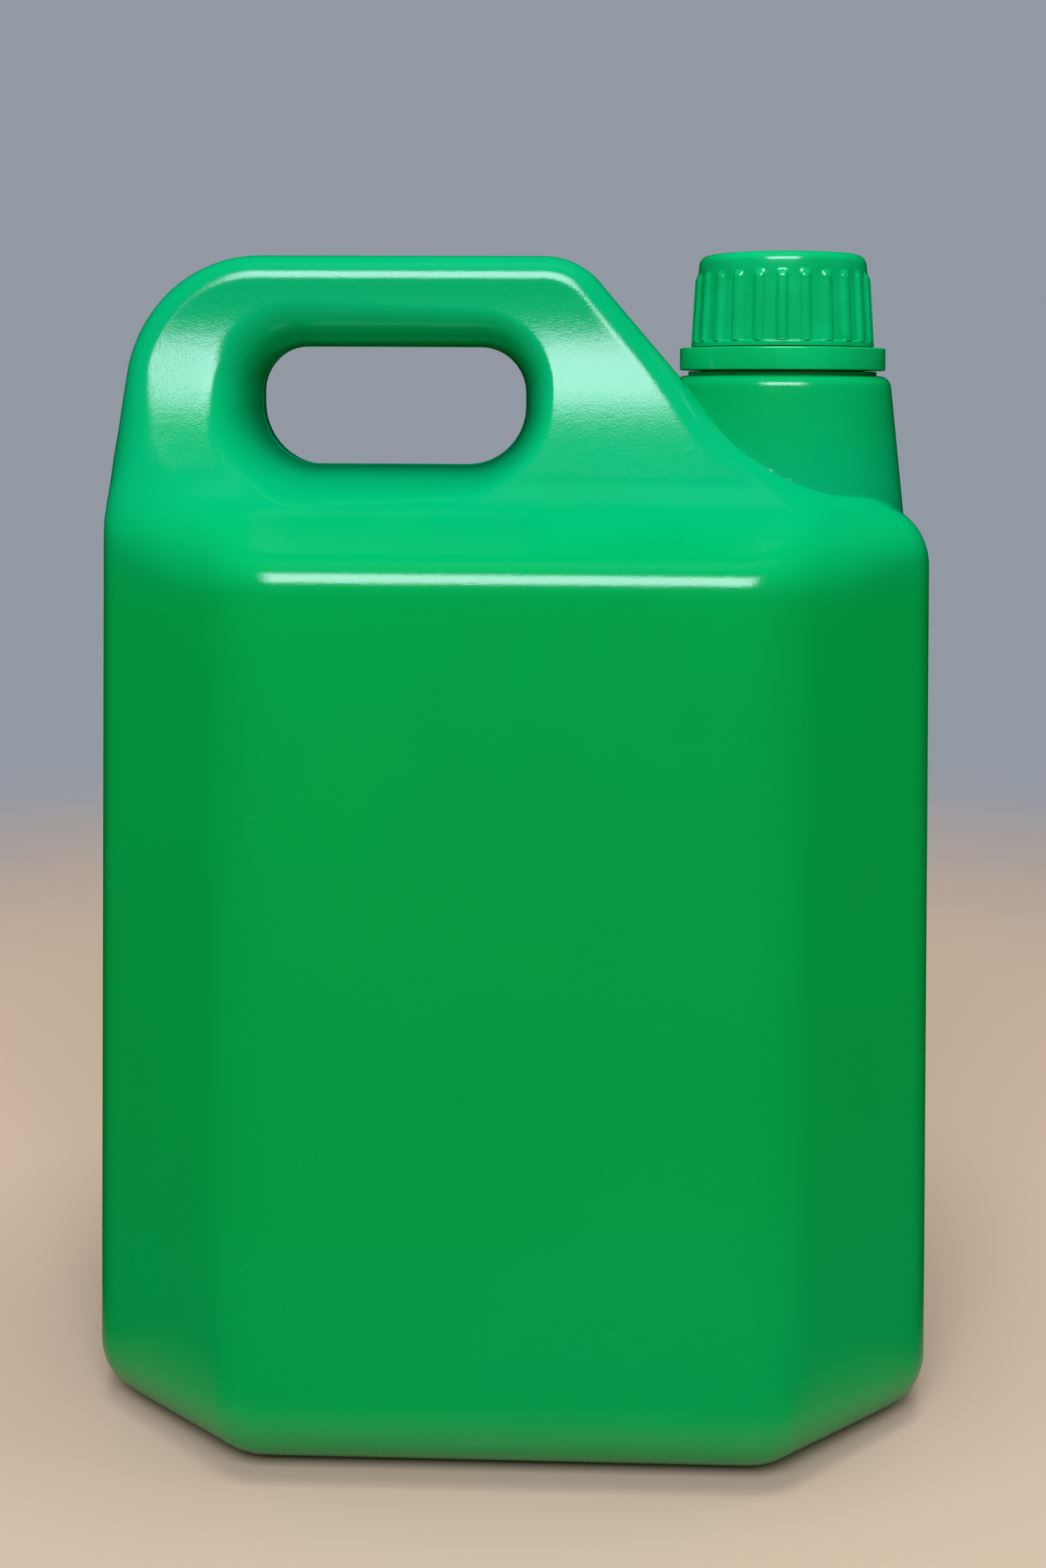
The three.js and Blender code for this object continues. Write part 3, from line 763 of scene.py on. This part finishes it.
def build_band():
    """The tamper band: a closed profile with a channel inside for the bead and a lip under it."""
    path = rounded_path([
        (BAND_OUTER_RADIUS, BAND_BOTTOM_Z, 0.45),
        (BAND_OUTER_RADIUS, BAND_TOP_Z, 0.45),
        (BAND_INNER_RADIUS, BAND_TOP_Z, 0.3),
        (BAND_INNER_RADIUS, BAND_WEB_Z, 0.2),
        (BAND_CHANNEL_RADIUS, BAND_WEB_Z, 0.3),
        (BAND_CHANNEL_RADIUS, BAND_LIP_TOP_Z, 0.3),
        (BAND_INNER_RADIUS, BAND_LIP_TOP_Z, 0.3),
        (BAND_INNER_RADIUS, BAND_LIP_BOTTOM_Z, 0.3),
        (BAND_CHANNEL_RADIUS, BAND_LIP_BOTTOM_Z, 0.2),
        (BAND_CHANNEL_RADIUS, BAND_BOTTOM_Z, 0.3),
    ], closed=True, arc_step=math.radians(15))
    return turned_object("band_skin", path, BAND_STEPS, closed=True)


def build_liner():
    """The liner: a disc with a ring pressed in where it seals on the lip of the neck."""
    path = rounded_path([
        (0, LINER_BOTTOM_Z),
        (BORE_RADIUS - 0.4, LINER_BOTTOM_Z),
        (BORE_RADIUS, LINER_BOTTOM_Z + 0.2, 0.3),
        (FINISH_RADIUS, LINER_BOTTOM_Z + 0.2, 0.3),
        (FINISH_RADIUS + 0.4, LINER_BOTTOM_Z),
        (LINER_RADIUS, LINER_BOTTOM_Z, 0.25),
        (LINER_RADIUS, LINER_TOP_Z, 0.25),
        (0, LINER_TOP_Z),
    ])
    return turned_object("liner_disc", path, LINER_STEPS)


class Nodes:
    """A material's node tree. Each call adds a node, sets or links its inputs and gives its output."""

    def __init__(self, tree):
        self.tree = tree
        tree.nodes.clear()

    def __call__(self, kind, output=0, inputs=None, **settings):
        made = self.tree.nodes.new(kind)
        for key, value in settings.items():
            setattr(made, key, value)
        for key, value in (inputs or {}).items():
            if isinstance(value, bpy.types.NodeSocket):
                self.tree.links.new(value, made.inputs[key])
            else:
                made.inputs[key].default_value = value
        return made.outputs[output] if made.outputs else None

    def math(self, operation, a, b=0.0, c=0.0):
        return self("ShaderNodeMath", inputs={0: a, 1: b, 2: c}, operation=operation)

    def ramp(self, value, low, high, start=0.0, end=1.0):
        """Eased change from start to end while value goes from low to high."""
        return self(
            "ShaderNodeMapRange",
            inputs={"Value": value, "From Min": low, "From Max": high, "To Min": start, "To Max": end},
            interpolation_type="SMOOTHSTEP",
        )

    def mix(self, factor, a, b):
        return self("ShaderNodeMix", output=2, inputs={0: factor, 6: a, 7: b}, data_type="RGBA")

    def noise(self, vector, scale, detail=2.0, rough=0.5):
        return self(
            "ShaderNodeTexNoise",
            inputs={"Vector": vector, "Scale": scale, "Detail": detail, "Roughness": rough},
        )


def new_material(name):
    made = bpy.data.materials.new(name)
    made.use_nodes = True
    return made, Nodes(made.node_tree)


def finish_material(nodes, **inputs):
    sockets = {key.replace("_", " "): value for key, value in inputs.items()}
    shader = nodes("ShaderNodeBsdfPrincipled", inputs=sockets)
    nodes("ShaderNodeOutputMaterial", inputs={"Surface": shader})


def canister_plastic():
    """Satin green polyethylene: fine mould grain, slight mottling, painted light paler above, and at
    the base scuffs with a painted reflection.
    """
    made, nodes = new_material("canister_plastic")
    place = nodes("ShaderNodeTexCoord", output=3)
    height = nodes("ShaderNodeSeparateXYZ", output=2, inputs={0: place})
    # Painted light: the top is made paler and bluer, as if lit by cool light from above.
    tone = nodes.mix(nodes.ramp(height, *TOP_PAINTED_LIGHT_Z), BODY_TONE, TOP_PAINTED_LIGHT_TONE)
    # Painted light: the lower walls are made lighter and bluer than the body.
    tone = nodes.mix(nodes.ramp(height, *LOW_PAINTED_LIGHT_Z, 1.0, 0.0), tone, LOW_PAINTED_LIGHT_TONE)
    # Painted light: the neck's tower is made lighter and bluer than the body.
    level = nodes("ShaderNodeVectorMath", inputs={0: place, 1: (1, 1, 0)}, operation="MULTIPLY")
    axis = (NECK_X * MM, 0, 0)
    spread = nodes("ShaderNodeVectorMath", output=1, inputs={0: level, 1: axis}, operation="DISTANCE")
    around = nodes.ramp(spread, *TOWER_PAINTED_LIGHT_REACH, 1.0, 0.0)
    tower = nodes.math("MULTIPLY", around, nodes.ramp(height, *TOWER_PAINTED_LIGHT_Z))
    tone = nodes.mix(tower, tone, TOWER_PAINTED_LIGHT_TONE)
    cloud = nodes.noise(place, scale=22, detail=4, rough=0.6)
    tone = nodes.mix(nodes.ramp(cloud, 0.3, 0.7, 0.0, 0.16), tone, CLOUD_TONE)
    streak = nodes.noise(place, scale=9, detail=2)
    tone = nodes.mix(nodes.ramp(streak, 0.4, 0.7, 0.0, 0.18), tone, STREAK_TONE)
    # Scuffs near the base: real wear, and also a painted pale reflection of the floor.
    foot = nodes.ramp(height, *WORN_AND_PAINTED_REFLECTION_Z, 1.0, 0.0)
    scuffs = nodes.ramp(nodes.noise(place, scale=1600, detail=4, rough=0.7), 0.35, 0.75)
    worn_and_painted_reflection = nodes.math("MULTIPLY", foot, scuffs)
    tone = nodes.mix(nodes.math("MULTIPLY", worn_and_painted_reflection, 0.2), tone, WORN_AND_PAINTED_REFLECTION_TONE)
    cell = nodes("ShaderNodeTexVoronoi", inputs={"Vector": place, "Scale": 240.0})
    fleck = nodes.ramp(cell, 0.10, 0.16, 1.0, 0.0)
    few = nodes.ramp(nodes.noise(place, scale=60, detail=1), 0.70, 0.73)
    low = nodes.ramp(height, *FLECK_Z, 1.0, 0.0)
    fleck = nodes.math("MULTIPLY", nodes.math("MULTIPLY", fleck, few), low)
    tone = nodes.mix(nodes.math("MULTIPLY", fleck, 0.6), tone, FLECK_TONE)
    grain = nodes.noise(place, scale=2300, detail=2, rough=0.6)
    peel = nodes.noise(place, scale=420, detail=3, rough=0.55)
    relief = nodes.math("MULTIPLY_ADD", peel, 0.8, grain)
    bump = nodes("ShaderNodeBump", inputs={"Strength": 0.32, "Distance": 0.00011, "Height": relief})
    rough = nodes.math("MULTIPLY_ADD", cloud, 0.05, 0.105)
    rough = nodes.math("MULTIPLY_ADD", worn_and_painted_reflection, 0.2, rough)
    finish_material(nodes, Base_Color=tone, Roughness=rough, Normal=bump, IOR=PLASTIC_IOR)
    return made


def closure_plastic(name, deep, light):
    """Smooth green polyethylene of the cap and band: faint flow marks and the smallest grain."""
    made, nodes = new_material(name)
    place = nodes("ShaderNodeTexCoord", output=3)
    flow = nodes.noise(place, scale=60, detail=3, rough=0.6)
    tone = nodes.mix(nodes.ramp(flow, 0.3, 0.7), deep, light)
    relief = nodes.noise(place, scale=900, detail=2, rough=0.5)
    bump = nodes("ShaderNodeBump", inputs={"Strength": 0.2, "Distance": 0.00006, "Height": relief})
    rough = nodes.math("MULTIPLY_ADD", flow, 0.06, 0.14)
    finish_material(nodes, Base_Color=tone, Roughness=rough, Normal=bump, IOR=PLASTIC_IOR)
    return made


def liner_foam():
    """Off-white closed-cell foam: small cells in the surface."""
    made, nodes = new_material("liner_foam")
    place = nodes("ShaderNodeTexCoord", output=3)
    cells = nodes("ShaderNodeTexVoronoi", inputs={"Vector": place, "Scale": 1500.0})
    tone = nodes.mix(nodes.ramp(cells, 0.1, 0.6), *FOAM_TONES)
    bump = nodes("ShaderNodeBump", inputs={"Strength": 0.5, "Distance": 0.0002, "Height": cells})
    finish_material(nodes, Base_Color=tone, Roughness=0.8, Normal=bump)
    return made


def place_piece(made, material, body, node):
    """Gives a piece its material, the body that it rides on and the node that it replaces."""
    made.data.materials.clear()
    made.data.materials.append(material)
    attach(made, body)
    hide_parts(node)


place_piece(build_canister(), canister_plastic(), "canister", "canister")
cap_plastic = closure_plastic("cap_plastic", *CAP_TONES)
place_piece(build_cap(), cap_plastic, "cap", "screw_cap")
band_plastic = closure_plastic("band_plastic", *BAND_TONES)
place_piece(build_band(), band_plastic, "band", "tamper_band")
place_piece(build_liner(), liner_foam(), "liner", "cap_liner")


def build_floor():
    """Plain pale floor under the can, which fades into the backdrop far off.

    The can mirrors it only within a reach of its plan, for which a 45 degree chamfer is near enough.
    """
    mesh = bpy.data.meshes.new("floor")
    half = FLOOR_HALF
    corners = [(-half, -half, 0), (half, -half, 0), (half, half, 0), (-half, half, 0)]
    mesh.from_pydata(corners, [], [(0, 1, 2, 3)])
    floor = bpy.data.objects.new("floor", mesh)
    bpy.context.scene.collection.objects.link(floor)
    made, nodes = new_material("floor_paint")
    mirrored = nodes("ShaderNodeLightPath", output="Is Glossy Ray")
    seen = nodes("ShaderNodeLightPath", output="Is Camera Ray")
    place = nodes("ShaderNodeTexCoord", output=3)
    distance = nodes("ShaderNodeVectorMath", output=1, inputs={0: place}, operation="LENGTH")
    far = nodes.math("MULTIPLY", nodes.ramp(distance, *FLOOR_FADE), seen)
    spot = nodes("ShaderNodeVectorMath", inputs={0: place}, operation="ABSOLUTE")
    across = nodes("ShaderNodeSeparateXYZ", output=0, inputs={0: spot})
    back = nodes("ShaderNodeSeparateXYZ", output=1, inputs={0: spot})
    side = nodes.math("SUBTRACT", across, HALF_WIDTH * MM)
    front = nodes.math("SUBTRACT", back, HALF_DEPTH * MM)
    chamfer = nodes.math("ADD", nodes.math("ADD", side, front), CHAMFER_BACK * MM)
    chamfer = nodes.math("MULTIPLY", chamfer, math.sqrt(0.5))
    off = nodes.math("MAXIMUM", nodes.math("MAXIMUM", side, front), chamfer)
    close = nodes.ramp(off, *FLOOR_MIRRORED_REACH, 1.0, 0.0)
    mirror = nodes.mix(close, (0, 0, 0, 1), FLOOR_MIRRORED)
    near = nodes("ShaderNodeBsdfDiffuse", inputs={"Color": nodes.mix(mirrored, FLOOR_COLOUR, mirror)})
    backdrop = nodes("ShaderNodeEmission", inputs={"Color": BACKDROP_COLOUR, "Strength": 1.0})
    shader = nodes("ShaderNodeMixShader", inputs={0: far, 1: near, 2: backdrop})
    nodes("ShaderNodeOutputMaterial", inputs={"Surface": shader})
    mesh.materials.append(made)


def area_lamp(name, spot, target, size, power, colour, mirrored=True):
    """Soft rectangular lamp at spot, facing target."""
    lamp = bpy.data.lights.new(name, "AREA")
    lamp.shape = "RECTANGLE"
    lamp.size, lamp.size_y = size
    lamp.energy = power
    lamp.color = colour
    made = bpy.data.objects.new(name, lamp)
    made.location = spot
    made.rotation_euler = (Vector(target) - Vector(spot)).to_track_quat("-Z", "Y").to_euler()
    made.visible_glossy = mirrored
    bpy.context.scene.collection.objects.link(made)


def build_world(fill, backdrop):
    """Even light from all round that isn't mirrored in the can, and a plain backdrop for the camera."""
    world = bpy.data.worlds.new("studio")
    world.use_nodes = True
    bpy.context.scene.world = world
    world.cycles_visibility.glossy = False
    nodes = Nodes(world.node_tree)
    seen = nodes("ShaderNodeLightPath", output="Is Camera Ray")
    colour = nodes.mix(seen, (fill, fill, fill, 1), backdrop)
    shade = nodes("ShaderNodeBackground", inputs={"Color": colour, "Strength": 1.0})
    nodes("ShaderNodeOutputWorld", inputs={"Surface": shade})


def build_camera(spot, azimuth, pitch, roll, lens, shift):
    """Camera at spot that looks along its azimuth, tipped down by pitch and turned by roll."""
    ahead = Vector((
        -math.sin(azimuth) * math.cos(pitch),
        math.cos(azimuth) * math.cos(pitch),
        -math.sin(pitch),
    ))
    right = Vector((math.cos(azimuth), math.sin(azimuth), 0))
    up = right.cross(ahead)
    across = right * math.cos(roll) + up * math.sin(roll)
    upward = up * math.cos(roll) - right * math.sin(roll)
    data = bpy.data.cameras.new("camera")
    data.sensor_width = 36
    data.lens = lens
    data.shift_x, data.shift_y = shift
    data.clip_start = 0.01
    made = bpy.data.objects.new("camera", data)
    turned = Matrix((across, upward, -ahead)).transposed().to_4x4()
    made.matrix_world = Matrix.Translation(spot) @ turned
    bpy.context.scene.collection.objects.link(made)
    bpy.context.scene.camera = made


build_floor()
build_world(fill=0.34, backdrop=BACKDROP_COLOUR)
area_lamp(
    "front_softbox",
    spot=(-0.03, -0.985, 1.01),
    target=(0.0, 0.0, 0.24),
    size=(0.85, 0.56),
    power=16.8,
    colour=(0.85, 0.93, 1.15),
)
area_lamp(
    "overhead",
    spot=(0.05, -0.10, 1.35),
    target=(0.0, 0.0, 0.2),
    size=(0.9, 0.5),
    power=10.5,
    colour=(0.92, 0.98, 1.08),
    mirrored=False,
)
build_camera(
    spot=(0.01397, -0.45722, 0.24629),
    azimuth=math.radians(1.75),
    pitch=math.radians(0.60),
    roll=math.radians(0.264),
    lens=40.46,
    shift=(0.0032, -0.24),
)
bpy.context.scene.view_settings.view_transform = "Standard"
